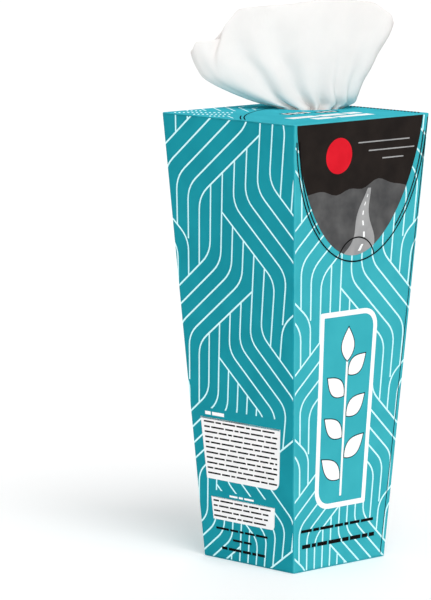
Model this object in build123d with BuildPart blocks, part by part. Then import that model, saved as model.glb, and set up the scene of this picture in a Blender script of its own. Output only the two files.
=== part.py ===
from build123d import *
import os
from math import asin, atan, atan2, cos, degrees, exp, hypot, pi, radians, sin, sqrt

# Tissue box that stands in a cup holder: a folded card carton that widens upwards, the stack of
# tissues in it, and the first tissue pulled up through the mouth in its top. Sizes in mm.

# Carton
box_height = 181.0
base_side = 52.0
top_side = 76.0
card = 0.5
fold_inside_radius = 0.4
panel_edge_radius = 0.4

# Glued end flaps, and the glued seam beside the front right fold
side_flap_length = 21.0
side_flap_mitre = 7.0
panel_line_width = 0.25
panel_line_depth = 0.2
seam_flap_width = 12.0
seam_flap_end_gap = 6.0
seam_from_fold_at_base = 3.0
seam_from_fold_at_top = 1.2
seam_line_width = 0.3
seam_line_depth = 0.3
seam_line_end_gap = 1.5

# Mouth in the top panel, in its far right part
mouth_length = 27.0
mouth_width = 25.0
mouth_to_right_fold = 5.0
mouth_to_back_fold = 13.5

# Tear line: half an oval on the front panel, and a bow on the top panel from the left fold to the mouth
bow_depth = 57.0
bow_end_depth = 7.0
bow_to_fold = 1.4
slit_length = 3.6
slit_pitch = 4.6
slit_width = 0.35
second_row_gap = 1.5
second_row_share = 0.3
thumb_width = 20.0
thumb_height = 7.5
top_bow_from_front_fold = 29.0
top_bow_rise = 4.6
fold_slit_length = 2.4
fold_slit_pitch = 2.8
fold_slit_angle = 45.0
fold_slit_to_fold = 1.8
fold_slits_from_front_fold = 3.0
fold_slits_right_run = 42.0

# Stack of tissues, folded double, standing on the floor of the carton
stack_side_gap = 1.5
stack_back_gap = 2.2
headspace = 17.0
stack_fold_radius = 14.0
stack_edge_radius = 2.0
stack_parting_width = 0.8
stack_solid_fold = 11.0

# Pulled tissue: a gathered sheet, a funnel that opens into a flat fan across the box
fan_angle = -45.0
fan_thickness = 0.5
fan_ring_points = 90
neck_clearance = 0.4
neck_over_panel = 0.3
neck_foot_share = 0.6
neck_foot_narrowing = 4.4
foot_gap = 0.1
# Stations of the fan over the top panel: height, shift, added half width and half depth
fan_stations = [
    (1.8, -1.6, 6.0, -0.8),
    (4.5, -4.6, 10.2, -0.8),
    (9.0, -9.0, 16.2, -1.2),
    (13.0, -11.0, 20.2, -1.8),
    (20.0, -11.0, 24.0, -3.0),
    (31.0, -8.4, 27.6, -4.6),
    (45.0, -6.6, 29.6, -6.0),
]
# Folds of the sheet: turn round the fan at the neck and higher up, depth, turn they take up, fading height
fan_folds = [
    (20, 26, 2.2, 9, 24),
    (56, 54, 2.4, 9, 28),
    (126, 123, 2.2, 9, 28),
    (158, 160, 2.4, 8, 24),
    (208, 207, 1.4, 9, 20),
    (248, 235, 2.6, 8, 24),
    (279, 259, 2.8, 8, 24),
    (299, 290, 2.2, 8, 30),
    (314, 311, 2.4, 6, 20),
    (333, 332, 1.8, 8, 26),
]
fold_turning_height = 30.0
fold_left_at_edge = 0.35
# Free edge of the fan, from left to right: sideways from the mouth, height over the top panel
fan_edge = [(-49.0, 22.0), (-47.0, 26.5), (-41.0, 27.0), (-36.0, 32.5), (-29.0, 39.5), (-10.0, 41.0),
            (8.0, 43.2), (24.0, 42.6), (32.0, 38.0), (35.0, 30.0)]
fan_edge_rise = 0.21
# Gap between the sheet's two side edges at the back of the fan
back_gap_width = 8.0
back_gap_low = 9.0

# Worked out from the sizes above
lean = atan((top_side - base_side) / 2 / box_height)
slant_height = box_height / cos(lean)
wall_across = card / cos(lean)
fold_radius = fold_inside_radius + card
end_panels = 2 * card
floor_top = end_panels + card
ceiling = box_height - end_panels - card
stack_top = ceiling - headspace
mouth_reach = hypot(mouth_length, mouth_width) / 2 ** 1.5
mouth_x = top_side / 2 - mouth_to_right_fold - mouth_reach
mouth_y = top_side / 2 - mouth_to_back_fold - mouth_reach
front_panel = Plane(origin=(0, -base_side / 2, 0), x_dir=(1, 0, 0), z_dir=(0, -cos(lean), -sin(lean)))
top_panel = Plane.XY.offset(box_height)


def side_at(height):
    """Outside width of the carton at a height."""
    return base_side + (top_side - base_side) * height / box_height


def half_front_at(slant):
    """Half the front panel's width at a distance up its slope."""
    return base_side / 2 + slant * sin(lean)


def slits_along(line, first=0.0, last=1.0, beside=0.0):
    """Places of even slits on a share of a line, or beside it."""
    count = max(1, round(line.length * (last - first) / slit_pitch))
    places = []
    for index in range(count):
        share = first + (last - first) * (index + 0.5) / count
        point, along = line @ share, line % share
        turn = degrees(atan2(along.Y, along.X))
        places.append(Location((point.X - beside * along.Y, point.Y + beside * along.X, 0), (0, 0, turn)))
    return places


# Lines that the slits follow, drawn flat on the front panel and on the top panel
bow_half_width = half_front_at(slant_height) - bow_to_fold
bow_end = degrees(asin(bow_end_depth / bow_depth))
with BuildLine() as front_bow:
    EllipticalCenterArc((0, slant_height), bow_half_width, bow_depth, 180 + bow_end,
                        arc_size=180 - 2 * bow_end)
thumb_low = slant_height - bow_depth * sqrt(1 - (thumb_width / 2 / bow_half_width) ** 2)
with BuildLine() as thumb_bow:
    ThreePointArc((-thumb_width / 2, thumb_low), (0, thumb_low + thumb_height),
                  (thumb_width / 2, thumb_low))
bow_to_mouth = (mouth_reach + bow_to_fold) / 2 ** 0.5
with BuildLine() as top_bow:
    SagittaArc((bow_to_fold - top_side / 2, top_bow_from_front_fold - top_side / 2),
               (mouth_x - bow_to_mouth, mouth_y + bow_to_mouth), top_bow_rise)

# Carton: one folded and glued blank
with BuildPart() as carton:
    with BuildSketch():
        RectangleRounded(base_side, base_side, fold_radius)
    with BuildSketch(top_panel):
        RectangleRounded(top_side, top_side, fold_radius)
    loft()
    for end in (0, -1):
        fillet(carton.faces().sort_by(Axis.Z)[end].edges(), min(panel_edge_radius, card))

    # Room inside, between the double end panels
    for height in (end_panels, box_height - end_panels):
        with BuildSketch(Plane.XY.offset(height)):
            inside = side_at(height) - 2 * wall_across
            RectangleRounded(inside, inside, fold_inside_radius)
    loft(mode=Mode.SUBTRACT)

    # Side flaps under the end panels, with mitred ends
    for height in (end_panels, ceiling):
        wall = side_at(height) / 2
        span = wall - end_panels
        with BuildSketch(Plane.XY.offset(height)):
            for hand in (-1, 1):
                root, tip = hand * (wall - card / 2), hand * (wall - side_flap_length)
                with BuildLine():
                    Polyline((root, -span), (tip, side_flap_mitre - span), (tip, span - side_flap_mitre),
                             (root, span), close=True)
                make_face()
        extrude(amount=card)

    # Glue flap of the seam, inside the front panel
    with BuildSketch(front_panel.offset(-card)):
        low, high = seam_flap_end_gap, slant_height - seam_flap_end_gap
        with BuildLine():
            Polyline((half_front_at(low) - card / 2, low), (half_front_at(high) - card / 2, high),
                     (half_front_at(high) - seam_flap_width, high - seam_flap_end_gap),
                     (half_front_at(low) - seam_flap_width, low + seam_flap_end_gap), close=True)
        make_face()
    extrude(amount=-card)

    # Line along the front panel's free edge at the seam
    with BuildSketch(front_panel):
        low, high = seam_line_end_gap, slant_height - seam_line_end_gap
        low_x = half_front_at(low) - seam_from_fold_at_base
        high_x = half_front_at(high) - seam_from_fold_at_top
        with BuildLine():
            Polyline((low_x, low), (low_x + seam_line_width, low), (high_x + seam_line_width, high),
                     (high_x, high), close=True)
        make_face()
    extrude(amount=-seam_line_depth, mode=Mode.SUBTRACT)

    # Lines under the free edges of the outer end panels, hinged in front at the top and behind at the base
    for height, hinge in ((box_height - card - panel_line_width, -1), (card, 1)):
        side = side_at(height)
        core = side - 2 * panel_line_depth
        with BuildSketch(Plane.XY.offset(height)):
            Rectangle(2 * side, 2 * side)
            Rectangle(core, core, mode=Mode.SUBTRACT)
            with Locations((0, hinge * side)):
                Rectangle(2 * side, side + 2 * fold_radius, mode=Mode.SUBTRACT)
        extrude(amount=panel_line_width, mode=Mode.SUBTRACT)

    # Mouth through every layer of the top
    with BuildSketch(top_panel):
        with Locations(Location((mouth_x, mouth_y, 0), (0, 0, fan_angle))):
            Ellipse(mouth_length / 2, mouth_width / 2)
    extrude(amount=-(box_height - ceiling), mode=Mode.SUBTRACT)

    # Slits of the tear line in the front panel, in two rows on the arms of the bow
    with BuildSketch(front_panel):
        bow = front_bow.line.edge()
        arms = ((0.0, second_row_share), (1 - second_row_share, 1.0))
        places = slits_along(bow) + slits_along(thumb_bow.line.edge())
        for first, last in arms:
            places += slits_along(bow, first, last, second_row_gap)
        with Locations(*places):
            Rectangle(slit_length, slit_width)
    extrude(amount=-end_panels, mode=Mode.SUBTRACT)

    # Slits in the outer top panel: on its bow, and slanted ones along its two side folds
    with BuildSketch(top_panel):
        bow = top_bow.line.edge()
        with Locations(*slits_along(bow), *slits_along(bow, 0.0, second_row_share, second_row_gap)):
            Rectangle(slit_length, slit_width)
        for hand, run in ((-1, top_bow_from_front_fold), (1, fold_slits_right_run)):
            for index in range(int((run - fold_slits_from_front_fold) / fold_slit_pitch)):
                x = hand * (top_side / 2 - fold_slit_to_fold)
                y = fold_slits_from_front_fold + (index + 0.5) * fold_slit_pitch - top_side / 2
                with Locations(Location((x, y, 0), (0, 0, hand * fold_slit_angle))):
                    Rectangle(fold_slit_length, slit_width)
    extrude(amount=-card, mode=Mode.SUBTRACT)
carton.part.label = "carton"

# Stack of tissues: one bundle folded double, round at its fold, with its two halves parted in front
stack_width = base_side - 2 * (wall_across + stack_side_gap)
stack_depth = base_side - 2 * (wall_across + stack_back_gap)
with BuildPart() as tissue_stack:
    with BuildSketch(Plane.XY.offset(floor_top)):
        right, back = stack_width / 2, stack_depth / 2
        with BuildLine():
            FilletPolyline((-right, -back), (right, -back), (right, back), (-right, back), close=True,
                           radius=2 * [stack_edge_radius] + 2 * [stack_fold_radius])
        make_face()
        with Locations((0, -back)):
            Rectangle(stack_parting_width, 2 * (stack_depth - stack_solid_fold), mode=Mode.SUBTRACT)
    extrude(amount=stack_top - floor_top)
tissue_stack.part.label = "tissue_stack"

# Pulled tissue: its foot stands on the stack, its neck fills the mouth, and the fan opens above
fan_across = Vector(cos(radians(fan_angle)), sin(radians(fan_angle)), 0)
fan_towards = (fan_across.Y, -fan_across.X, 0)
fan_face = Plane(origin=(mouth_x, mouth_y, box_height), x_dir=fan_across, z_dir=fan_towards)
neck_half_width = mouth_length / 2 - neck_clearance
neck_half_depth = mouth_width / 2 - neck_clearance
foot_low = stack_top + foot_gap - box_height
neck_low = ceiling - card - box_height


def fold_depth(turn, height):
    """How far the folds draw the sheet in at a turn round the fan and a height over the top panel."""
    rise = max(height, 0)
    drawn_in = 0
    for low_turn, high_turn, depth, width, fading in fan_folds:
        middle = radians(low_turn + (high_turn - low_turn) * min(rise / fold_turning_height, 1))
        beside = (turn - middle + pi) % (2 * pi) - pi
        strength = fold_left_at_edge + (1 - fold_left_at_edge) * exp(-((rise / fading) ** 2))
        drawn_in += depth * strength * exp(-((beside / radians(width)) ** 2))
    return drawn_in


def folded_ring(height, shift, half_width, half_depth, inset):
    """Closed ring of the folded sheet at a height, in the fan's own width and depth."""
    points = []
    for step in range(fan_ring_points):
        turn = 2 * pi * step / fan_ring_points
        inside = fold_depth(turn, height) + inset
        points.append((shift + (half_width - inside) * cos(turn), (half_depth - inside) * sin(turn)))
    return points


foot_half_width = neck_half_width - neck_foot_narrowing
foot_half_depth = neck_half_depth - neck_foot_narrowing
rings = [(neck_foot_share, (foot_low, 0, foot_half_width, foot_half_depth))]
for height in (neck_low, neck_over_panel):
    rings.append((1, (height, 0, neck_half_width, neck_half_depth)))
for height, shift, wider, deeper in fan_stations:
    rings.append((1, (height, shift, neck_half_width + wider, neck_half_depth + deeper)))

with BuildPart() as pulled_tissue:
    for inset, mode in ((0, Mode.ADD), (fan_thickness, Mode.SUBTRACT)):
        for share, ring in rings:
            middle = (share * mouth_x, share * mouth_y, box_height + ring[0])
            with BuildSketch(Plane(origin=middle, x_dir=fan_across, z_dir=(0, 0, 1))):
                with BuildLine():
                    Polyline(*folded_ring(*ring, inset), close=True)
                make_face()
        loft(ruled=True, mode=mode)
    fan_top = fan_stations[-1][0]
    below_foot = foot_low - top_side * fan_edge_rise
    with BuildSketch(fan_face):
        with BuildLine():
            edge = Spline(*fan_edge)
            Polyline(edge @ 1, ((edge @ 1).X, below_foot), ((edge @ 0).X, below_foot), edge @ 0)
        make_face()
    rising = (fan_towards[0], fan_towards[1], fan_edge_rise)
    extrude(amount=top_side, dir=rising, both=True, mode=Mode.INTERSECT)
    with BuildSketch(fan_face):
        middle = fan_stations[-1][1]
        with BuildLine():
            Polyline((middle - back_gap_width / 2, fan_top), (middle, back_gap_low),
                     (middle + back_gap_width / 2, fan_top), close=True)
        make_face()
    extrude(amount=-top_side, mode=Mode.SUBTRACT)
pulled_tissue.part.label = "pulled_tissue"

os.makedirs("parts", exist_ok=True)
for piece in (carton, tissue_stack, pulled_tissue):
    export_step(piece.part, f"parts/{piece.part.label}.step")
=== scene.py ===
from math import asin, atan, cos, exp, hypot, log, pi, radians, sin, sqrt

import bpy
from mathutils import Matrix, Vector, noise


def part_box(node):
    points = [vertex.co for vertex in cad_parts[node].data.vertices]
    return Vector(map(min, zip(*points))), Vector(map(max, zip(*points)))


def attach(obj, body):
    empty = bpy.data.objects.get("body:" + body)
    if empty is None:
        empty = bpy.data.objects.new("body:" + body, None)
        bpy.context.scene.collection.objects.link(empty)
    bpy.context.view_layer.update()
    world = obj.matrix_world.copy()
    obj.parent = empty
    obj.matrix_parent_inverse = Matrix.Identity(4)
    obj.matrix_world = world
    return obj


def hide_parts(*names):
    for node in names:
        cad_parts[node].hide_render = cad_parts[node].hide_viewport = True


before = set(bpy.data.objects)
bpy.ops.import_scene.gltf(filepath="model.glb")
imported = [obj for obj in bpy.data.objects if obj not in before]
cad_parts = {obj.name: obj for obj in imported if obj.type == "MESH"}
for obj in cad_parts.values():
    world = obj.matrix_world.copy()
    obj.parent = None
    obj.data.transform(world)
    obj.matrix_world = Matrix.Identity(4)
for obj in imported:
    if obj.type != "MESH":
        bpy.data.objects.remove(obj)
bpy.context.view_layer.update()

# Carton: one blank of coated card, printed teal on its outer face only, folded round four
# upright folds and glued along the front right one. The imported node keeps its shape, and
# gets its ink, its raw board where it is cut or faces inwards, and a faint rub on its folds.
# Its side walls take a darker teal as painted shade, and its top and bottom a lighter teal
# as painted light.
mm = 0.001
base_side = 52 * mm
top_side = 76 * mm
box_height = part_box("carton")[1].z
spread = (top_side - base_side) / 2 / box_height
lean = atan(spread)
slant_height = box_height / cos(lean)
ink_depth = 0.24 * mm
fold_radius, end_radius = 0.9 * mm, 0.4 * mm
rub_start, rub_width, rub_share = 0.25 * mm, 0.9 * mm, 0.14
rub_patch, mottle_size, fibre_size = 5 * mm, 14 * mm, 0.6 * mm
tooth_size, wave_size, gloss_patch = 0.35 * mm, 22 * mm, 6 * mm
wave_share = 12.0
gloss_swing = 0.05


def seen_colour(red, green, blue):
    """The linear colour of a shade written as it is seen, from 0 to 255."""
    parts = [part / 255 for part in (red, green, blue)]
    return (*[p / 12.92 if p < 0.04045 else ((p + 0.055) / 1.055) ** 2.4 for p in parts], 1)


def add_node(tree, kind, inputs, **settings):
    """A shader node with its settings made and its inputs set, or joined to other nodes."""
    node = tree.nodes.new("ShaderNode" + kind)
    for name, value in settings.items():
        setattr(node, name, value)
    for place, value in inputs.items():
        if isinstance(value, bpy.types.NodeSocket):
            tree.links.new(value, node.inputs[place])
        else:
            node.inputs[place].default_value = value
    return node


def worked_out(tree, operation, *values):
    """The result of a sum on two or three values of the surface."""
    return add_node(tree, "Math", dict(enumerate(values)), operation=operation).outputs[0]


def blended(tree, share, first, second):
    """A colour between two, by a share that varies over the surface."""
    inputs = {0: share, 6: first, 7: second}
    return add_node(tree, "Mix", inputs, data_type="RGBA").outputs[2]


def ranged(tree, value, from_low, from_high, to_low, to_high):
    """A value of the surface, carried from one range to another."""
    inputs = {0: value, 1: from_low, 2: from_high, 3: to_low, 4: to_high}
    return add_node(tree, "MapRange", inputs).outputs[0]


def speckle(tree, place, size, detail=3.0):
    """A cloudy pattern over the surface, with patches of about that size."""
    inputs = {"Vector": place, "Scale": 1 / size, "Detail": detail}
    return add_node(tree, "TexNoise", inputs).outputs["Fac"]


def clouded(tree, place, size):
    """Soft patches of about that size, whose share runs from 0 to 1."""
    return ranged(tree, speckle(tree, place, size), 0.35, 0.65, 0.0, 1.0)


def rounded_depth(tree, first, second, radius):
    """The depth under two faces that meet in a rounded corner, from the depths under each."""
    squares = []
    for depth in (first, second):
        over = worked_out(tree, "MAXIMUM", worked_out(tree, "SUBTRACT", radius, depth), 0)
        squares.append(worked_out(tree, "MULTIPLY", over, over))
    reach = worked_out(tree, "SQRT", worked_out(tree, "ADD", *squares))
    return worked_out(tree, "SUBTRACT", radius, reach)


def blank_finish(name):
    """A new material, its node tree, its shader and the place on the piece."""
    material = bpy.data.materials.new(name)
    material.use_nodes = True
    tree = material.node_tree
    place = add_node(tree, "TexCoord", {}).outputs["Object"]
    return material, tree, tree.nodes["Principled BSDF"], place


def raised(tree, shader, relief, strength, depth):
    """Gives a finish its fine relief, and returns the way that its surface then faces."""
    inputs = {"Strength": strength, "Distance": depth, "Height": relief}
    facing = add_node(tree, "Bump", inputs).outputs["Normal"]
    tree.links.new(facing, shader.inputs["Normal"])
    return facing


def card_grain(tree, shader, place, roughness, shine=0.04):
    """The faint tooth, slow waviness and uneven gloss of coated card."""
    tooth = speckle(tree, place, tooth_size, 2.0)
    waves = speckle(tree, place, wave_size, 1.0)
    relief = worked_out(tree, "MULTIPLY_ADD", waves, wave_share, tooth)
    raised(tree, shader, relief, strength=0.25, depth=0.02 * mm)
    least, most = roughness - gloss_swing, roughness + gloss_swing
    gloss = ranged(tree, speckle(tree, place, gloss_patch), 0.3, 0.7, least, most)
    tree.links.new(gloss, shader.inputs["Roughness"])
    shader.inputs["Specular IOR Level"].default_value = shine


def printed_card():
    """Teal ink on the card's outer skin, rubbed at the folds, with grey-white board behind it, darker
    on the side walls as painted shade and lighter on the ends as painted light.
    """
    teal, teal_shade = seen_colour(63, 175, 186), seen_colour(57, 168, 180)
    # Darker teal for the side walls: painted shade.
    painted_shade_side_teal, painted_shade_side_mottle = seen_colour(31, 148, 162), seen_colour(28, 141, 155)
    # Lighter teal for the top and bottom: painted light.
    painted_light_end_teal, painted_light_end_mottle = seen_colour(68, 187, 203), seen_colour(62, 181, 197)
    rubbed_teal = seen_colour(112, 201, 211)
    board, board_shade = seen_colour(226, 222, 212), seen_colour(206, 201, 190)
    material, tree, shader, place = blank_finish("printed_card_teal")
    across, along, height = add_node(tree, "SeparateXYZ", {0: place}).outputs
    half_side = worked_out(tree, "MULTIPLY_ADD", height, spread, base_side / 2)
    from_x = worked_out(tree, "SUBTRACT", half_side, worked_out(tree, "ABSOLUTE", across))
    from_y = worked_out(tree, "SUBTRACT", half_side, worked_out(tree, "ABSOLUTE", along))
    from_end = worked_out(tree, "MINIMUM", height, worked_out(tree, "SUBTRACT", box_height, height))
    nearer = worked_out(tree, "MINIMUM", from_x, from_y)
    further = worked_out(tree, "MAXIMUM", from_x, from_y)
    under_walls = rounded_depth(tree, from_x, from_y, fold_radius)
    under_skin = rounded_depth(tree, under_walls, from_end, end_radius)
    inked = worked_out(tree, "LESS_THAN", under_skin, ink_depth)
    from_fold = worked_out(tree, "MAXIMUM", nearer, worked_out(tree, "MINIMUM", further, from_end))
    near_fold = ranged(tree, from_fold, rub_start, rub_width, rub_share, 0.0)
    patchy = ranged(tree, speckle(tree, place, rub_patch), 0.42, 0.62, 0.15, 1.0)
    rubbed = worked_out(tree, "MULTIPLY", near_fold, patchy)
    mottle = clouded(tree, place, mottle_size)
    # Mask for the side walls, which take the painted shade.
    painted_shade_on_side = worked_out(tree, "LESS_THAN", from_x, worked_out(tree, "MINIMUM", from_y, from_end))
    # Mask for the top and bottom, which take the painted light.
    painted_light_on_end = worked_out(tree, "LESS_THAN", from_end, nearer)
    ink = blended(tree, mottle, teal, teal_shade)
    ink = blended(tree, painted_shade_on_side, ink, blended(tree, mottle, painted_shade_side_teal, painted_shade_side_mottle))
    ink = blended(tree, painted_light_on_end, ink, blended(tree, mottle, painted_light_end_teal, painted_light_end_mottle))
    ink = blended(tree, rubbed, ink, rubbed_teal)
    fibres = ranged(tree, speckle(tree, place, fibre_size), 0.3, 0.7, 0.0, 1.0)
    raw_board = blended(tree, fibres, board, board_shade)
    skin = blended(tree, inked, raw_board, ink)
    tree.links.new(skin, shader.inputs["Base Color"])
    card_grain(tree, shader, place, roughness=0.5, shine=0)
    return material


card_finish = printed_card()
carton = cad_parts["carton"]
carton.data.materials.clear()
carton.data.materials.append(card_finish)

# Braided lines: fine white lines printed on the four walls in bands of five. Each band runs
# straight down, then crosses to its neighbour, and the whole pattern narrows with the wall.
line_width = 0.72 * mm
ink_film, line_lift = 0.03 * mm, 0.01 * mm
merge_distance = 0.0005 * mm
ink_patch = 9 * mm
fold_margin = 0.55
band_lines = 5
band_step = 12
line_rise = 0.65
upper_reach = {1: 0, 2: -4, 3: -5, 4: -9, 5: -8}
lower_reach = {1: 13, 2: 11, 3: 10, 4: 9, 5: 8}
base_half = base_side / 2 / mm
top_half = top_side / 2 / mm
wall_height = slant_height / mm
slant_middle = 110


def printed_ink(name, colour, shade, roughness=0.5, shine=0.04):
    """One printed colour on card, a little uneven as laid ink is."""
    material, tree, shader, place = blank_finish(name)
    laid = blended(tree, clouded(tree, place, ink_patch), colour, shade)
    tree.links.new(laid, shader.inputs["Base Color"])
    card_grain(tree, shader, place, roughness, shine)
    return material


def select_only(piece):
    """Makes one piece the selected and active one."""
    bpy.ops.object.select_all(action="DESELECT")
    piece.select_set(True)
    bpy.context.view_layer.objects.active = piece


def flat_curve(name, paths, closed):
    """A flat curve through paths of points in millimetres."""
    curve = bpy.data.curves.new(name, "CURVE")
    curve.dimensions = "2D"
    for path in paths:
        spline = curve.splines.new("POLY")
        spline.points.add(len(path) - 1)
        for point, (x, y) in zip(spline.points, path):
            point.co = (x * mm, y * mm, 0, 1)
        spline.use_cyclic_u = closed
        spline.use_smooth = False
    piece = bpy.data.objects.new(name, curve)
    bpy.context.scene.collection.objects.link(piece)
    select_only(piece)
    return piece, curve


def as_mesh(piece, lift):
    """Turns a flat curve into a closed mesh that is lifted over its panel."""
    bpy.ops.object.convert(target="MESH")
    bpy.ops.object.mode_set(mode="EDIT")
    bpy.ops.mesh.select_all(action="SELECT")
    bpy.ops.mesh.remove_doubles(threshold=merge_distance)
    bpy.ops.mesh.normals_make_consistent(inside=False)
    bpy.ops.transform.translate(value=(0, 0, lift))
    bpy.ops.object.mode_set(mode="OBJECT")
    return piece


def inked_lines(name, paths, width, closed=False, lift=line_lift):
    """Thin lines of ink along flat paths."""
    piece, curve = flat_curve(name, paths, closed)
    curve.fill_mode = "NONE"
    curve.bevel_depth = width / 2
    curve.bevel_resolution = 0
    curve.use_fill_caps = True
    bpy.ops.object.convert(target="MESH")
    piece.scale.z = ink_film / width
    bpy.ops.object.transform_apply(location=False, rotation=False, scale=True)
    return as_mesh(piece, lift)


def trim(piece, point, outward):
    """Cuts off what lies past a line across the panel."""
    select_only(piece)
    bpy.ops.object.mode_set(mode="EDIT")
    bpy.ops.mesh.select_all(action="SELECT")
    cut = {"plane_co": (point[0] * mm, point[1] * mm, 0), "plane_no": (*outward, 0)}
    bpy.ops.mesh.bisect(**cut, use_fill=True, clear_outer=True)
    bpy.ops.object.mode_set(mode="OBJECT")


def on_wall(turn):
    """The place of a wall's flat print, by the wall's turn round the box."""
    stood_up = Matrix.Rotation(pi / 2 + lean, 4, "X")
    moved_out = Matrix.Translation((0, -base_side / 2, 0))
    return Matrix.Rotation(radians(turn), 4, "Z") @ moved_out @ stood_up


on_front, on_left, on_back, on_right = [on_wall(turn) for turn in (0, -90, 180, 90)]
on_top = Matrix.Translation((0, 0, box_height))


def lay(piece, panel, material):
    """Puts flat print on its panel, inks it and makes it part of the carton."""
    piece.matrix_world = panel
    select_only(piece)
    bpy.ops.object.transform_apply(location=True, rotation=True, scale=True)
    piece.data.materials.clear()
    piece.data.materials.append(material)
    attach(piece, "root")


def round_corners(path, reach=1.0, steps=5):
    """An open path with its corners rounded off, each within a share of its two arms."""
    largest_share = 0.45
    rounded = [path[0]]
    for before, corner, after in zip(path, path[1:], path[2:]):
        arms = []
        for other in (before, after):
            length = hypot(other[0] - corner[0], other[1] - corner[1])
            share = min(reach / length, largest_share)
            arms.append([c + (o - c) * share for c, o in zip(corner, other)])
        for step in range(steps + 1):
            t = step / steps
            weights = ((1 - t) ** 2, 2 * t * (1 - t), t ** 2)
            points = (arms[0], corner, arms[1])
            rounded.append([sum(w * p[axis] for w, p in zip(weights, points)) for axis in (0, 1)])
    return rounded + [path[-1]]


def braid_paths(lines_across, first_trunk, branch_depth, slope, slant):
    """The braid's lines on one wall, worked out on an even grid that narrows downwards."""
    shrink = slope * 2 * sin(lean) / lines_across

    def on_grid(column, fall):
        half = top_half * exp(-fall * shrink)
        y = (half - base_half) / sin(lean)
        return ((column / lines_across - 0.5) * 2 * half + slant * (y - slant_middle), y)

    first_fall = log(top_half / (top_half - branch_depth * sin(lean))) / shrink
    last_fall = log(top_half / base_half) / shrink
    paths = []
    for trunk in (-1, 0, 1):
        for crossing in range(-2, 5):
            for hand, delay in ((1, 0), (-1, band_step / 2)):
                fall = first_fall + crossing * band_step + delay
                for line in range(1, band_lines + 1):
                    above = first_trunk + trunk * band_step + (line if hand > 0 else band_lines - line)
                    below = above + hand * band_lines
                    bend = fall - line_rise * (line - 1)
                    end = fall + lower_reach[line] - line_rise * (band_lines - 1)
                    path = [(above, bend), (below, bend + band_lines), (below, end)]
                    if upper_reach[line]:
                        path.insert(0, (above, fall + upper_reach[line]))
                    seen_across = max(above, below) > 0 and min(above, below) < lines_across
                    if seen_across and path[-1][1] > 0 and path[0][1] < last_fall:
                        paths.append([on_grid(*point) for point in round_corners(path)])
    return paths


def trim_to_wall(piece):
    """Ends a wall's lines at its folds and at its top and bottom edges."""
    fold_slope = atan(sin(lean))
    for hand in (1, -1):
        fold_foot = (hand * (base_half - fold_margin), 0)
        trim(piece, fold_foot, (hand * cos(fold_slope), -sin(fold_slope)))
    trim(piece, (0, wall_height - fold_margin), (0, 1))
    trim(piece, (0, fold_margin), (0, -1))


white_ink = printed_ink("white_ink", seen_colour(254, 254, 254), seen_colour(248, 250, 250))
line_ink = printed_ink("pale_line_ink", seen_colour(210, 252, 255), seen_colour(202, 248, 252))
wide_braid = {
    "lines_across": 12.19, "first_trunk": 3.69, "branch_depth": 67.1, "slope": 0.89, "slant": 0,
}
tall_braid = {
    "lines_across": 10.92, "first_trunk": 3.01, "branch_depth": 37.8, "slope": 0.81, "slant": 0.113,
}
for wall, panel, braid in (
    ("front", on_front, wide_braid),
    ("left", on_left, tall_braid),
    ("back", on_back, wide_braid),
    ("right", on_right, tall_braid),
):
    lines = inked_lines(f"{wall}_braid_lines", braid_paths(**braid), line_width)
    trim_to_wall(lines)
    lay(lines, panel, line_ink)

# Picture panel: a dark field printed inside the tear line of the front wall, with a plain
# road running to low hills under a red sun. Its bowed edge flares towards the top fold.
picture_half_width = 35.3
picture_depth = 54.5
picture_middle = -1.2
picture_bow = 4 / 3
picture_end = radians(1.6)
picture_roughness = 0.36
field_thickness = 0.06 * mm
mark_step = 0.03 * mm


def printed_field(name, outlines, thickness):
    """A flat field of ink with these outlines, of which an inner one leaves a gap."""
    piece, curve = flat_curve(name, outlines, True)
    curve.fill_mode = "BOTH"
    curve.extrude = thickness / 2
    return as_mesh(piece, thickness / 2)


def oval_points(centre, half_width, half_height, start, end, steps):
    """Points along an oval from one angle to another."""
    angles = [start + (end - start) * step / steps for step in range(steps + 1)]
    return [(centre[0] + half_width * cos(a), centre[1] + half_height * sin(a)) for a in angles]


def picture_arc(start, end, steps=32):
    """Points along the picture's curved edge, by their angle about its top."""
    oval = oval_points((picture_middle, 0), picture_half_width, 1, start, end, steps)
    return [(x, wall_height - picture_depth * abs(y) ** picture_bow) for x, y in oval]


def side_of_picture(height):
    """The angle on the picture's edge, on its right, at a height on the wall."""
    return -asin(((wall_height - height) / picture_depth) ** (1 / picture_bow))


charcoal, charcoal_shade = seen_colour(36, 30, 27), seen_colour(28, 23, 21)
hill_grey, hill_shade = seen_colour(92, 92, 92), seen_colour(70, 70, 71)
road_grey, road_shade = seen_colour(168, 168, 168), seen_colour(148, 148, 149)
sun_red, sun_shade = seen_colour(222, 28, 44), seen_colour(210, 22, 38)
charcoal_ink = printed_ink("charcoal_ink", charcoal, charcoal_shade, picture_roughness)
hill_ink = printed_ink("hill_grey_ink", hill_grey, hill_shade, picture_roughness)
road_ink = printed_ink("road_grey_ink", road_grey, road_shade, picture_roughness)
red_ink = printed_ink("red_ink", sun_red, sun_shade, picture_roughness)
picture_edge = picture_arc(pi + picture_end, 2 * pi - picture_end, 64)
lay(printed_field("picture_field", [picture_edge], field_thickness), on_front, charcoal_ink)

hill_end, hill_rise = 153, 2
hill_waves = ((2.6, 0.5), (1.1, 1.7))
hill_steps = 24
hill_angle = side_of_picture(hill_end)
hill_low = picture_arc(pi - hill_angle, 2 * pi + hill_angle)
hill_left, hill_right = hill_low[0][0], hill_low[-1][0]
hill_top = []
for step in range(1, hill_steps):
    share = step / hill_steps
    swell = hill_rise + sum(high * sin(4 * pi * share * rate + rate) for high, rate in hill_waves)
    x = hill_right + (hill_left - hill_right) * share
    hill_top.append((x, hill_end + swell * sin(pi * share)))
hills = printed_field("picture_hills", [hill_low + hill_top], field_thickness + mark_step)
lay(hills, on_front, hill_ink)

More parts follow.
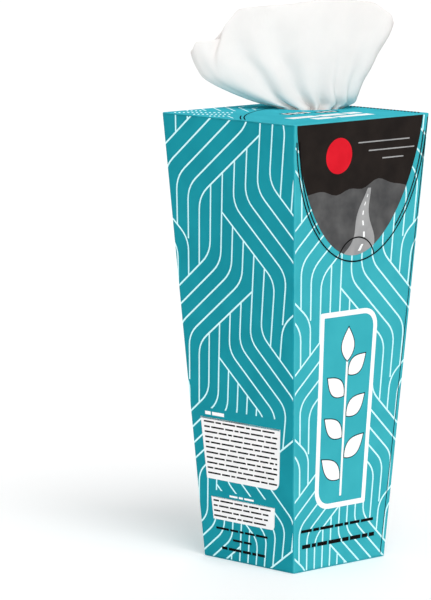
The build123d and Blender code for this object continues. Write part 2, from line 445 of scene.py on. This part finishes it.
road_low_half = 9.0
road_far = (5.5, 153.5)
road_far_half = 0.9
road_sway, road_taper = 3.2, 0.7
road_left_start, road_right_start = 0.04, 0.13
road_left_turn, road_right_turn = 0.18, 0.31
road_steps = 14
road_low = picture_arc(1.5 * pi - road_left_turn, 1.5 * pi + road_right_turn, 12)


def road_middle(share):
    """The road's middle and half width, from the near end to the far one."""
    low_y = wall_height - picture_depth
    y = low_y + (road_far[1] - low_y) * share
    x = road_far[0] * share + road_sway * sin(2 * pi * share) * (1 - share)
    return x, y, road_low_half + (road_far_half - road_low_half) * share ** road_taper


road_right, road_left = [], []
for step in range(road_steps + 1):
    x, y, half = road_middle(road_right_start + (1 - road_right_start) * step / road_steps)
    road_right.append((x + half, y))
    x, y, half = road_middle(1 - (1 - road_left_start) * step / road_steps)
    road_left.append((x - half, y))
road_outline = road_low + road_right + road_left
lay(printed_field("picture_road", [road_outline], field_thickness + 2 * mark_step), on_front, road_ink)

dash_starts = (0.06, 0.26, 0.44, 0.6, 0.74, 0.86)
dash_length, dash_shortening = 0.1, 0.6
dash_half_share = 0.09
dashes = []
for start in dash_starts:
    end = start + dash_length * (1 - dash_shortening * start)
    ends = [road_middle(start), road_middle(end)]
    right = [(x + dash_half_share * half, y) for x, y, half in ends]
    left = [(x - dash_half_share * half, y) for x, y, half in reversed(ends)]
    dashes.append(right + left)
lay(printed_field("road_dashes", dashes, field_thickness + 3 * mark_step), on_front, white_ink)

sun_centre = (-12.5, 167.5)
sun_radius = 7.2
sun_disc = oval_points(sun_centre, sun_radius, sun_radius, 0, 2 * pi, 48)[:-1]
lay(printed_field("picture_sun", [sun_disc], field_thickness + mark_step), on_front, red_ink)
sky_width = 0.5 * mm
sky_lines = [[(-2, 172), (27, 172)], [(4, 168.5), (30, 168.5)], [(12, 165), (24, 165)]]
lay(inked_lines("sky_lines", sky_lines, sky_width, lift=field_thickness), on_front, road_ink)

# Tear line: the black line printed over the cut that opens the carton, half an oval on the
# front wall round the picture, doubled at its two ends, with a thumb tab at its foot. It runs
# on from the left fold across the top panel to the mouth, and as ticks along the right fold.
tear_width = 0.55 * mm
tear_lift, top_tear_lift = 0.17 * mm, 0.04 * mm
tear_fold_gap = 1.4
tear_half_width = top_half - tear_fold_gap
tear_depth = 57
tear_end = radians(7.05)
second_line_gap = 1.5
second_line_share = radians(46)
thumb_half_width = 10
thumb_rise = 7.5
black_ink = printed_ink("black_ink", seen_colour(24, 22, 22), seen_colour(18, 17, 17), shine=0)


def bow(inset, start, end, steps=40):
    """Points along the tear line's oval, or inside it by an inset."""
    return oval_points((0, wall_height), tear_half_width - inset, tear_depth - inset, start, end, steps)


def arc_over(start, end, rise, steps=32):
    """Points along an arc over a straight line, by its rise to the left of it."""
    (x0, y0), (x1, y1) = start, end
    span = hypot(x1 - x0, y1 - y0)
    radius = (span ** 2 / 4 + rise ** 2) / (2 * rise)
    along = ((x1 - x0) / span, (y1 - y0) / span)
    points = []
    for step in range(steps + 1):
        run = span * (step / steps - 0.5)
        high = sqrt(radius ** 2 - run ** 2) - radius + rise
        middle = ((x0 + x1) / 2, (y0 + y1) / 2)
        points.append((
            middle[0] + along[0] * run - along[1] * high,
            middle[1] + along[1] * run + along[0] * high,
        ))
    return points


thumb_low = wall_height - tear_depth * sqrt(1 - (thumb_half_width / tear_half_width) ** 2)
front_tear = [
    bow(0, pi + tear_end, 2 * pi - tear_end, 80),
    bow(second_line_gap, pi + tear_end, pi + tear_end + second_line_share),
    bow(second_line_gap, 2 * pi - tear_end - second_line_share, 2 * pi - tear_end),
    arc_over((-thumb_half_width, thumb_low), (thumb_half_width, thumb_low), thumb_rise),
]
lay(inked_lines("front_tear_line", front_tear, tear_width, lift=tear_lift), on_front, black_ink)

mouth_width, mouth_length = 27, 25
mouth_from_right, mouth_from_back = 5.0, 13.5
mouth_reach = hypot(mouth_width, mouth_length) / 2 ** 1.5
mouth_x = top_half - mouth_from_right - mouth_reach
mouth_y = top_half - mouth_from_back - mouth_reach
arc_from_corner, arc_rise, arc_mouth_gap = 29, 4.6, 1.4
second_arc_points = 10
arc_to_mouth = (mouth_reach + arc_mouth_gap) / sqrt(2)
arc_start = (tear_fold_gap - top_half, arc_from_corner - top_half)
arc_end = (mouth_x - arc_to_mouth, mouth_y + arc_to_mouth)
top_arc = arc_over(arc_start, arc_end, arc_rise)
second_shift = second_line_gap / sqrt(2)
second_arc = [(x - second_shift, y + second_shift) for x, y in top_arc[1:second_arc_points + 1]]
top_tear = inked_lines("top_tear_line", [top_arc, second_arc], tear_width, lift=top_tear_lift)
lay(top_tear, on_top, black_ink)

tick_width = 0.75 * mm
tick_count, tick_step = 22, 1.9
tick_length, tick_inset, tick_from_corner = 5.0, 2.3, 4
half_run = tick_length / 2 / sqrt(2)
tick_x = top_half - tick_inset
fold_ticks = []
for tick in range(tick_count):
    y = tick_from_corner - top_half + tick * tick_step
    fold_ticks.append([(tick_x - half_run, y - half_run), (tick_x + half_run, y + half_run)])
lay(inked_lines("fold_ticks", fold_ticks, tick_width), on_top, black_ink)

# Seam: the front wall's free edge, glued over its flap beside the right fold, with one thin
# black line from top to bottom that is the edge's painted shadow.
seam_width, seam_lift = 0.42 * mm, 0.02 * mm
seam_low_inset, seam_high_inset = 2.75, 1.05
seam_end_gap = 1.5
seam_low = (base_half - seam_low_inset, seam_end_gap)
seam_high = (top_half - seam_high_inset, wall_height - seam_end_gap)
# A black line laid along the seam as its painted shadow.
lay(inked_lines("seam_painted_shadow_line", [[seam_low, seam_high]], seam_width, lift=seam_lift), on_front, black_ink)

# Top panel print: slim pale dots in staggered rows and a few short lines behind the tear arc,
# laid along the panel's diagonals, and plain bars square to the folds in front of the arc.
# The panel is the one that is folded in last, glued over the flaps under it.
dot_half_width, dot_half_depth = 0.45, 1.9
dot_step, dot_margin = 1.75, 3.2
dot_rows = ((-16.5, -28.5), (-9, -25.5), (-1.5, -25.5), (6, -37.5))
corner_reach = top_half * sqrt(2)


def by_diagonals(points):
    """Points of the panel from their places across it and deep along its diagonals."""
    return [((across + deep) / sqrt(2), (deep - across) / sqrt(2)) for across, deep in points]


dots = []
for number, (deep, row_end) in enumerate(dot_rows):
    across = row_end - dot_step / 2 * (number % 2)
    while corner_reach + across > abs(deep) + dot_margin:
        dot = oval_points((across, deep), dot_half_width, dot_half_depth, 0, 2 * pi, 12)
        dots.append(by_diagonals(dot[:-1]))
        across -= dot_step
lay(printed_field("top_dots", dots, ink_film), on_top, line_ink)

stroke_lean = 0.24
stroke_hook = (2.2, 3.6)
strokes = ((-38.1, 14.6, 8), (-33.4, 19.2, 14), (-28.7, 23.8, 18), (-26.9, -15.4, 10))
hooked_strokes = ((-23.3, 21.4, 18), (-17.8, 17, 7))
top_strokes = []
for across, deep, length in strokes + hooked_strokes:
    path = [(across, deep), (across + stroke_lean * length, deep - length)]
    if (across, deep, length) in hooked_strokes:
        path.insert(0, (across + stroke_hook[0], deep + stroke_hook[1]))
    top_strokes.append(by_diagonals(round_corners(path)))
lay(inked_lines("top_braid_lines", top_strokes, line_width), on_top, line_ink)


def bar(middle_x, middle_y, length, height):
    """The outline of a plain printed bar."""
    x0, x1 = middle_x - length / 2, middle_x + length / 2
    y0, y1 = middle_y - height / 2, middle_y + height / 2
    return [(x0, y0), (x1, y0), (x1, y1), (x0, y1)]


white_height = 5
white_rows = {-17: ((-13, 15), (3, 13), (15, 7)), -25: ((-9, 11), (8, 19))}
white_bars = []
for y, row in white_rows.items():
    white_bars += [bar(x, y, length, white_height) for x, length in row]
lay(printed_field("top_white_bars", white_bars, ink_film), on_top, white_ink)
back_row, near_row = -3, -6.5
black_bars = [bar(-6, back_row, 7, 6), bar(1.5, back_row, 5, 6), bar(11, near_row, 11, 5)]
lay(printed_field("top_black_bars", black_bars, ink_film), on_top, black_ink)
bar_ticks = [bar(x, back_row, 1.6, 4.6) for x in (-8, -4.4, -0.8, 2.8)]
bar_ticks += [bar(x, near_row, 1.5, 3.8) for x in (7.6, 11, 14.4)]
lay(printed_field("top_bar_ticks", bar_ticks, ink_film + mark_step), on_top, white_ink)

# Leaf plaque: an upright teal field with a white frame on the front wall, two of its corners
# rounded, and in it a white leaf sprig with a thin dark outline, all printed on the card.
plaque_low, plaque_high = 24.4, 104.8
plaque_middle = -1.9
plaque_half_low, plaque_half_high = 14.3, 16.2
plaque_frame = 2.1
plaque_field_inset = 1
big_corner, small_corner, least_corner = 8.0, 0.8, 0.3
corner_steps, corner_pull = 8, 0.8


def plaque_outline(inset):
    """The plaque's tapered outline, drawn in by an inset, from its lower left corner."""
    low, high = plaque_low + inset, plaque_high - inset
    taper = (plaque_half_high - plaque_half_low) / (plaque_high - plaque_low)
    corners = []
    for hand, y, radius in (
        (-1, low, big_corner), (1, low, small_corner), (1, high, big_corner), (-1, high, small_corner),
    ):
        half = plaque_half_low + taper * (y - plaque_low) - inset
        corners.append((plaque_middle + hand * half, y, max(radius - inset, least_corner)))
    points = []
    for number, (x, y, radius) in enumerate(corners):
        before, after = corners[number - 1], corners[(number + 1) % 4]
        arms = []
        for other in (before, after):
            share = radius / hypot(other[0] - x, other[1] - y)
            arms.append((x + (other[0] - x) * share, y + (other[1] - y) * share))
        for step in range(corner_steps + 1):
            t = step / corner_steps
            weights = ((1 - t) ** 2, 2 * t * (1 - t) * corner_pull, t ** 2)
            total = sum(weights)
            points.append((
                sum(w * p for w, p in zip(weights, (arms[0][0], x, arms[1][0]))) / total,
                sum(w * p for w, p in zip(weights, (arms[0][1], y, arms[1][1]))) / total,
            ))
    return points


plaque_inside = [plaque_outline(plaque_field_inset)]
lay(printed_field("plaque_field", plaque_inside, field_thickness), on_front, card_finish)
frame_thickness = field_thickness + mark_step
plaque_ring = [plaque_outline(0), plaque_outline(plaque_frame)]
lay(printed_field("plaque_frame", plaque_ring, frame_thickness), on_front, white_ink)

leaf_length, leaf_half_width = 14.2, 3.7
leaf_slope = radians(40)
leaf_fullness, leaf_shortening = 0.85, 0.35
leaf_gap = 0.9
leaf_count, leaf_first, leaf_step = 6, 36, 8.5
leaf_line_width, stem_width = 0.4 * mm, 1.1 * mm
stem_low, stem_high = 29.0, 84.0


def leaf(root, direction, length, half_width, steps=14):
    """The pointed outline of one leaf."""
    out, back = [], []
    for step in range(steps + 1):
        share = step / steps
        swell = half_width * sin(pi * share ** leaf_fullness)
        x = root[0] + cos(direction) * length * share
        y = root[1] + sin(direction) * length * share
        out.append((x + sin(direction) * swell, y - cos(direction) * swell))
        back.append((x - sin(direction) * swell, y + cos(direction) * swell))
    return out + back[-2:0:-1]


leaves = [leaf((plaque_middle, stem_high), radians(90), leaf_length, leaf_half_width)]
for number in range(leaf_count):
    hand = 1 if number % 2 else -1
    root = (plaque_middle + hand * leaf_gap, leaf_first + leaf_step * number)
    direction = leaf_slope if hand > 0 else pi - leaf_slope
    leaves.append(leaf(root, direction, leaf_length - leaf_shortening * number, leaf_half_width))
lay(printed_field("leaf_sprig", leaves, frame_thickness), on_front, white_ink)
lay(inked_lines("leaf_outlines", leaves, leaf_line_width, True, frame_thickness), on_front, black_ink)
stem = [[(plaque_middle, stem_low), (plaque_middle, stem_high)]]
lay(inked_lines("leaf_stem", stem, stem_width, lift=field_thickness), on_front, white_ink)

# Foot bars and text blocks: two rows of dark bars low on the front wall, and on the left
# wall two pale blocks with rows of short dark bars, some loose rows and white headings, for
# which a plain teal field clears the braided lines.
bar_lengths = (5.98, 3.22, 7.36, 4.6, 2.3, 5.52, 6.9, 3.68)
bar_space, least_bar = 0.828, 1


def bar_row(left, right, y, height, first):
    """A row of short bars of uneven lengths, to a full width."""
    row, x, number = [], left, first
    while x < right - least_bar:
        length = min(bar_lengths[number % len(bar_lengths)], right - x)
        row.append(bar(x + length / 2, y, length, height))
        x += length + bar_space
        number += 1
    return row


def block_outline(middle, low, high, half_low, half_high, radius):
    """A tapered block with one lower corner rounded off."""
    corner = oval_points((middle + half_low - radius, low + radius), radius, radius, -pi / 2, 0, 8)
    high_corners = [(middle + half_high, high), (middle - half_high, high)]
    return [(middle - half_low, low)] + corner + high_corners


pale_ink = printed_ink("pale_block_ink", seen_colour(250, 249, 249), seen_colour(244, 243, 243))
text_bars = bar_row(-23, 19, 16.8, 1.2, 0) + bar_row(-22, 19, 10.4, 1.6, 3)
lay(printed_field("foot_bars", text_bars, ink_film + mark_step), on_front, black_ink)
clear_fields = [bar(-0.8, 60, 45.6, 4.6), bar(-1.4, 27, 37, 3)]
lay(printed_field("clear_fields", clear_fields, ink_film + mark_step), on_left, card_finish)
blocks = [block_outline(-0.8, 33, 58.4, 21, 23, 4), block_outline(-1.4, 16.4, 25.8, 17.7, 18.4, 2)]
lay(printed_field("text_blocks", blocks, field_thickness), on_left, pale_ink)

row_height = 0.66
big_rows, big_row_step = 11, 2.12
big_left, big_right, big_high = -22, 20.4, 56.6
left_taper, right_taper = 0.1, 0.15
small_rows, small_row_step = 4, 2.1
small_left, small_right, small_high = -18.6, 14.5, 24.2
last_row_cut = 3
rows = []
for number in range(big_rows):
    left, right = big_left + left_taper * number, big_right - right_taper * number
    rows += bar_row(left, right, big_high - big_row_step * number, row_height, number)
for number in range(small_rows):
    right = small_right - last_row_cut * (number == small_rows - 1)
    rows += bar_row(small_left, right, small_high - small_row_step * number, row_height, 3 * number + 1)
lay(printed_field("text_rows", rows, frame_thickness), on_left, black_ink)
loose_rows = bar_row(-17.8, 12, 12.8, 0.9, 2) + bar_row(-8.3, 2.5, 8.8, 0.9, 5)
loose_rows += bar_row(-15, 10, 4.8, 1.1, 1)
lay(printed_field("loose_rows", loose_rows, ink_film + mark_step), on_left, black_ink)
headings = bar_row(-21, -10, 60.2, 1.4, 1) + bar_row(-9, 5, 27, 0.8, 3)
lay(printed_field("heading_bars", headings, frame_thickness), on_left, white_ink)

# Tissue stack: the folded sheets that fill the carton, soft white paper with a fine grey line
# of painted shade at the edge of every fold. The imported node keeps its shape.
ply_step, fluff_size = 1.7 * mm, 1.2 * mm


def stacked_paper():
    """White tissue whose folded edges lie one behind the other, with painted shade between them."""
    material, tree, shader, place = blank_finish("stacked_tissue")
    bands = {"Vector": place, "Scale": 0.1 / ply_step, "Distortion": 1.5, "Detail": 2.0}
    fold_relief_and_shade = add_node(tree, "TexWave", bands, bands_direction="X").outputs["Fac"]
    # The grey in the bands is painted shade between the folds.
    colour = blended(tree, fold_relief_and_shade, seen_colour(226, 227, 228), seen_colour(246, 246, 245))
    tree.links.new(colour, shader.inputs["Base Color"])
    raised(tree, shader, fold_relief_and_shade, strength=0.6, depth=0.4 * mm)
    fluff = ranged(tree, speckle(tree, place, fluff_size), 0.3, 0.7, 0.8, 0.95)
    tree.links.new(fluff, shader.inputs["Roughness"])
    return material


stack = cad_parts["tissue_stack"]
stack.data.materials.clear()
stack.data.materials.append(stacked_paper())

# Pulled tissue: the top sheet, thin two-ply paper drawn up through the mouth by its middle.
# It is gathered in the mouth, opens into a fan to the left and right, and stands by itself.
fan_turn = radians(-45)
sheet_thickness = 0.3 * mm
neck_half_width, neck_half_depth = 13.1, 12.1
foot_low, neck_low, neck_high = -18.4, -2.0, 0.3
foot_narrowing, foot_share = 4.4, 0.6
fan_top = 46
# Each ring: its height over the top panel, its shift, and its growth in width and depth.
fan_rings = [
    (foot_low, 0, -foot_narrowing, -foot_narrowing),
    (neck_low, 0, 0, 0),
    (neck_high, 0, 0, 0),
    (1.8, -1.6, 6.0, -0.8),
    (4.5, -4.6, 10.2, -0.8),
    (9, -9.0, 16.2, -1.2),
    (13, -11.0, 20.2, -1.8),
    (20, -11.0, 24.0, -3.0),
    (31, -8.4, 27.6, -4.6),
    (45, -6.6, 29.6, -6.0),
]
# The free edge: its height at places across the fan.
fan_edge = [
    (-49, 22), (-47, 26.5), (-41, 27), (-36, 32.5), (-29, 39.5),
    (-10, 41), (8, 43.2), (24, 42.6), (32, 38), (35, 30),
]
low_rows = (foot_low, -10, neck_low, neck_high, 1.0, 1.8, 3.0, 4.5, 6.5, 9.0)
high_row_count = 16
row_count = len(low_rows) - 1 + high_row_count
fan_columns = 150
back_gap_half, least_gap_share = radians(6), 0.06
fold_heights = (0, 12, 20, 30, fan_top)
# Each fold: its turns at those heights, its depth, its width in degrees and its reach upwards.
sheet_folds = [
    ((238, 254, 244, 235, 230), 2.6, 8, 24),
    ((272, 277, 269, 261, 258), 2.8, 8, 24),
    ((290, 297, 294, 289, 287), 2.2, 8, 30),
    ((316, 314, 311, 307, 303), 2.4, 6, 20),
    ((338, 332, 330, 328, 326), 1.8, 8, 26),
    ((208, 208, 207, 207, 207), 1.4, 9, 20),
    ((20, 22, 24, 26, 26), 2.2, 9, 24),
    ((56, 55, 54, 54, 54), 2.4, 9, 28),
    ((126, 125, 124, 123, 123), 2.2, 9, 28),
    ((158, 159, 159, 160, 160), 2.4, 8, 24),
]
fold_paths = [list(zip(fold_heights, fold[0])) for fold in sheet_folds]
curl_turn, curl_depth, curl_width, curl_reach = radians(219), 4.2, radians(5), 7.0
fold_keep, fold_width_low, fold_widening = 0.55, 0.75, 0.015
neck_gather, neck_reach = 0.7, 4.0
crumple_depth, crumple_round, crumple_up, crumple_reach = 0.7, 3.2, 0.035, 8
fan_edge_rise = 0.21
edge_halvings = 24


def smooth_along(points, place):
    """A smooth curve through rising points, read at one place, that doesn't overshoot."""
    place = min(max(place, points[0][0]), points[-1][0])
    slopes = [(b[1] - a[1]) / (b[0] - a[0]) for a, b in zip(points, points[1:])]
    tangents = [slopes[0]]
    for before, after in zip(slopes, slopes[1:]):
        tangents.append(2 * before * after / (before + after) if before * after > 0 else 0)
    tangents.append(slopes[-1])
    span = max(number for number in range(len(slopes)) if points[number][0] <= place)
    (x0, y0), (x1, y1) = points[span:span + 2]
    width = x1 - x0
    t = (place - x0) / width
    start = y0 * (1 + 2 * t) * (1 - t) ** 2 + tangents[span] * width * t * (1 - t) ** 2
    return start + y1 * t ** 2 * (3 - 2 * t) + tangents[span + 1] * width * t ** 2 * (t - 1)


shifts = [(ring[0], ring[1]) for ring in fan_rings]
half_widths = [(ring[0], neck_half_width + ring[2]) for ring in fan_rings]
half_depths = [(ring[0], neck_half_depth + ring[3]) for ring in fan_rings]
flatness = [(foot_low, 2), (neck_high, 2), (1.8, 2.5), (6, 4), (fan_top, 4)]
foot_places = [(foot_low, foot_share), (neck_low, 1), (neck_high, 1), (fan_top, 1)]


def falling_off(distance, reach):
    """A share that falls smoothly from 1 to nothing past a reach."""
    return exp(-((distance / reach) ** 2))


def fold_swell(turn, height, edge_height):
    """How far the sheet stands out of its even ring, below nothing in a fold or a curl."""
    rise = max(height, 0)
    swell = 0
    for path, (_, depth, width, reach) in zip(fold_paths, sheet_folds):
        middle = radians(smooth_along(path, rise))
        off = (turn - middle + pi) % (2 * pi) - pi
        strength = fold_keep + (1 - fold_keep) * falling_off(rise, reach)
        strength += neck_gather * falling_off(rise, neck_reach)
        fold_width = radians(width * (fold_width_low + fold_widening * rise))
        swell -= depth * strength * falling_off(off, fold_width)
    curl = falling_off(edge_height - height, curl_reach) * falling_off(turn - curl_turn, curl_width)
    place = Vector((crumple_round * cos(turn), crumple_round * sin(turn), crumple_up * height))
    crumple = crumple_depth * noise.noise(place) * min(rise / crumple_reach, 1)
    return swell - curl_depth * curl + crumple


def across_at(turn, height):
    """How far across the fan the sheet reaches at a turn and a height."""
    return smooth_along(shifts, height) + smooth_along(half_widths, height) * cos(turn)


def edge_at(turn):
    """The height at which the sheet's free edge is reached at a turn."""
    low, high = low_rows[-1], fan_top
    for _ in range(edge_halvings):
        middle = (low + high) / 2
        drop = fan_edge_rise * smooth_along(half_depths, middle) * sin(turn)
        if middle < smooth_along(fan_edge, across_at(turn, middle)) - drop:
            low = middle
        else:
            high = middle
    return low


def sheet_point(around, up):
    """A point of the sheet, from its place around the fan and up it."""
    low_share = (len(low_rows) - 1) / row_count
    gap = back_gap_half * min(max(up - low_share, 0) / (1 - low_share) + least_gap_share, 1)
    turn = pi / 2 + gap + around * (2 * pi - 2 * gap)
    edge_height = edge_at(turn)
    if up < low_share:
        place = up / low_share * (len(low_rows) - 1)
        row = min(int(place), len(low_rows) - 2)
        height = low_rows[row] + (low_rows[row + 1] - low_rows[row]) * (place - row)
    else:
        height = low_rows[-1] + (edge_height - low_rows[-1]) * (up - low_share) / (1 - low_share)
    swell = fold_swell(turn, height, edge_height)
    x = smooth_along(shifts, height) + (smooth_along(half_widths, height) + swell) * cos(turn)
    power = smooth_along(flatness, height)
    depth = max(1 - abs(cos(turn)) ** power, 0) ** (1 / power)
    hand = 1 if sin(turn) > 0 else -1
    y = smooth_along(half_depths, height) * depth * hand + swell * sin(turn)
    share = smooth_along(foot_places, height)
    middle = Vector((mouth_x * share, mouth_y * share, box_height / mm + height))
    return (middle + Matrix.Rotation(fan_turn, 3, "Z") @ Vector((x, y, 0))) * mm


cloud_size, paper_fibre = 12 * mm, 0.3 * mm
crinkle_counts, fibre_share = (260, 26, 1), 0.25
paper_shine, light_through = 0.2, 0.2


def tissue_paper():
    """Soft matt white paper that lets some light through, with a fine crinkle."""
    material, tree, shader, place = blank_finish("tissue_paper_white")
    paper, paper_shade = seen_colour(246, 243, 241), seen_colour(242, 239, 237)
    colour = blended(tree, clouded(tree, place, cloud_size), paper, paper_shade)
    tree.links.new(colour, shader.inputs["Base Color"])
    sheet_place = add_node(tree, "TexCoord", {}).outputs["UV"]
    drawn_out = add_node(tree, "Mapping", {"Vector": sheet_place, "Scale": crinkle_counts}).outputs[0]
    crinkle = speckle(tree, drawn_out, 1.0, 4.0)
    fibres = speckle(tree, place, paper_fibre, 2.0)
    relief = worked_out(tree, "MULTIPLY_ADD", fibres, fibre_share, crinkle)
    facing = raised(tree, shader, relief, strength=0.35, depth=0.12 * mm)
    fluff = ranged(tree, fibres, 0.3, 0.7, 0.82, 0.95)
    tree.links.new(fluff, shader.inputs["Roughness"])
    shader.inputs["Specular IOR Level"].default_value = paper_shine
    glow = add_node(tree, "BsdfTranslucent", {"Color": colour, "Normal": facing})
    joined = add_node(tree, "MixShader", {0: light_through, 1: shader.outputs[0], 2: glow.outputs[0]})
    tree.links.new(joined.outputs[0], tree.nodes["Material Output"].inputs["Surface"])
    return material


bpy.ops.object.select_all(action="DESELECT")
bpy.ops.mesh.primitive_grid_add(x_subdivisions=fan_columns, y_subdivisions=row_count, size=1)
tissue = bpy.context.object
tissue.name = tissue.data.name = "pulled_tissue_sheet"
for vertex in tissue.data.vertices:
    vertex.co = sheet_point(vertex.co.x + 0.5, vertex.co.y + 0.5)
bpy.ops.object.mode_set(mode="EDIT")
bpy.ops.mesh.select_all(action="SELECT")
bpy.ops.mesh.normals_make_consistent(inside=False)
bpy.ops.object.mode_set(mode="OBJECT")
thicken = tissue.modifiers.new("two plies", "SOLIDIFY")
thicken.thickness = sheet_thickness
thicken.offset = 0
soften = tissue.modifiers.new("soft paper", "SUBSURF")
soften.levels = soften.render_levels = 1
for modifier in ("two plies", "soft paper"):
    bpy.ops.object.modifier_apply(modifier=modifier)
bpy.ops.object.shade_smooth()
tissue.data.materials.append(tissue_paper())
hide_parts("pulled_tissue")
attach(tissue, "root")

# Floor and light: a wide pale floor that shows white but keeps the soft shadow, an even
# white surround, a broad lamp high in front, a low one beside the camera and a weak one behind.
floor_size = 14
floor_white, floor_roughness = 0.96, 0.9
floor_lift = 0.1
surround_level = 0.46


def looked_at(tree):
    """1 where a surface is looked at, straight or mirrored, and 0 where it only gives light."""
    paths = add_node(tree, "LightPath", {}).outputs
    seen = worked_out(tree, "MAXIMUM", paths["Is Camera Ray"], paths["Is Glossy Ray"])
    return worked_out(tree, "MAXIMUM", seen, paths["Is Transmission Ray"])


bpy.ops.object.select_all(action="DESELECT")
bpy.ops.mesh.primitive_plane_add(size=floor_size)
floor = bpy.context.object
floor.name = "floor"
floor_finish = bpy.data.materials.new("pale_floor")
floor_finish.use_nodes = True
floor_tree = floor_finish.node_tree
floor_shader = floor_tree.nodes["Principled BSDF"]
floor_shader.inputs["Base Color"].default_value = (floor_white, floor_white, floor_white, 1)
floor_shader.inputs["Roughness"].default_value = floor_roughness
floor_shader.inputs["Specular IOR Level"].default_value = 0
glow_level = worked_out(floor_tree, "MULTIPLY", looked_at(floor_tree), floor_lift)
white_glow = add_node(floor_tree, "Emission", {"Color": (1, 1, 1, 1), "Strength": glow_level})
lit = add_node(floor_tree, "AddShader", {0: floor_shader.outputs[0], 1: white_glow.outputs[0]})
floor_tree.links.new(lit.outputs[0], floor_tree.nodes["Material Output"].inputs["Surface"])
floor.data.materials.append(floor_finish)

scene = bpy.context.scene
scene.view_settings.view_transform = "Standard"
surround = bpy.data.worlds.new("white_surround")
surround.use_nodes = True
scene.world = surround
surround_tree = surround.node_tree
background = surround_tree.nodes["Background"]
background.inputs["Color"].default_value = (1, 1, 1, 1)
level = ranged(surround_tree, looked_at(surround_tree), 0.0, 1.0, surround_level, 1.0)
surround_tree.links.new(level, background.inputs["Strength"])


def direction_to(turn, height):
    """The direction from the object to a lamp or a camera, by its turn and height in degrees."""
    turn, height = radians(turn), radians(height)
    return Vector((sin(turn) * cos(height), -cos(turn) * cos(height), sin(height)))


for name, turn, height, strength, softness in (
    ("key_lamp", -17, 54, 1.5, 34),
    ("front_lamp", -52, 6, 1.42, 50),
    ("back_lamp", 130, 28, 0.6, 50),
):
    lamp_data = bpy.data.lights.new(name, "SUN")
    lamp_data.energy = strength
    lamp_data.angle = radians(softness)
    lamp = bpy.data.objects.new(name, lamp_data)
    scene.collection.objects.link(lamp)
    lamp.rotation_euler = direction_to(turn, height).to_track_quat("Z", "Y").to_euler()

# Camera: a long lens from the left of the front wall and a little above it, as the
# photograph was taken, with the upright edge between the two walls near the middle.
view_turn, view_height = -44.615, 8.506
aim_turn, aim_height = -43.454, 7.992
view_distance = 1.601556
lens, sensor_width = 237.7, 36

camera_data = bpy.data.cameras.new("camera")
camera_data.lens = lens
camera_data.sensor_width = sensor_width
camera = bpy.data.objects.new("camera", camera_data)
scene.collection.objects.link(camera)
view_middle = Vector((0, 0, box_height / 2))
camera.location = view_middle + direction_to(view_turn, view_height) * view_distance
camera.rotation_euler = (-direction_to(aim_turn, aim_height)).to_track_quat("-Z", "Y").to_euler()
scene.camera = camera
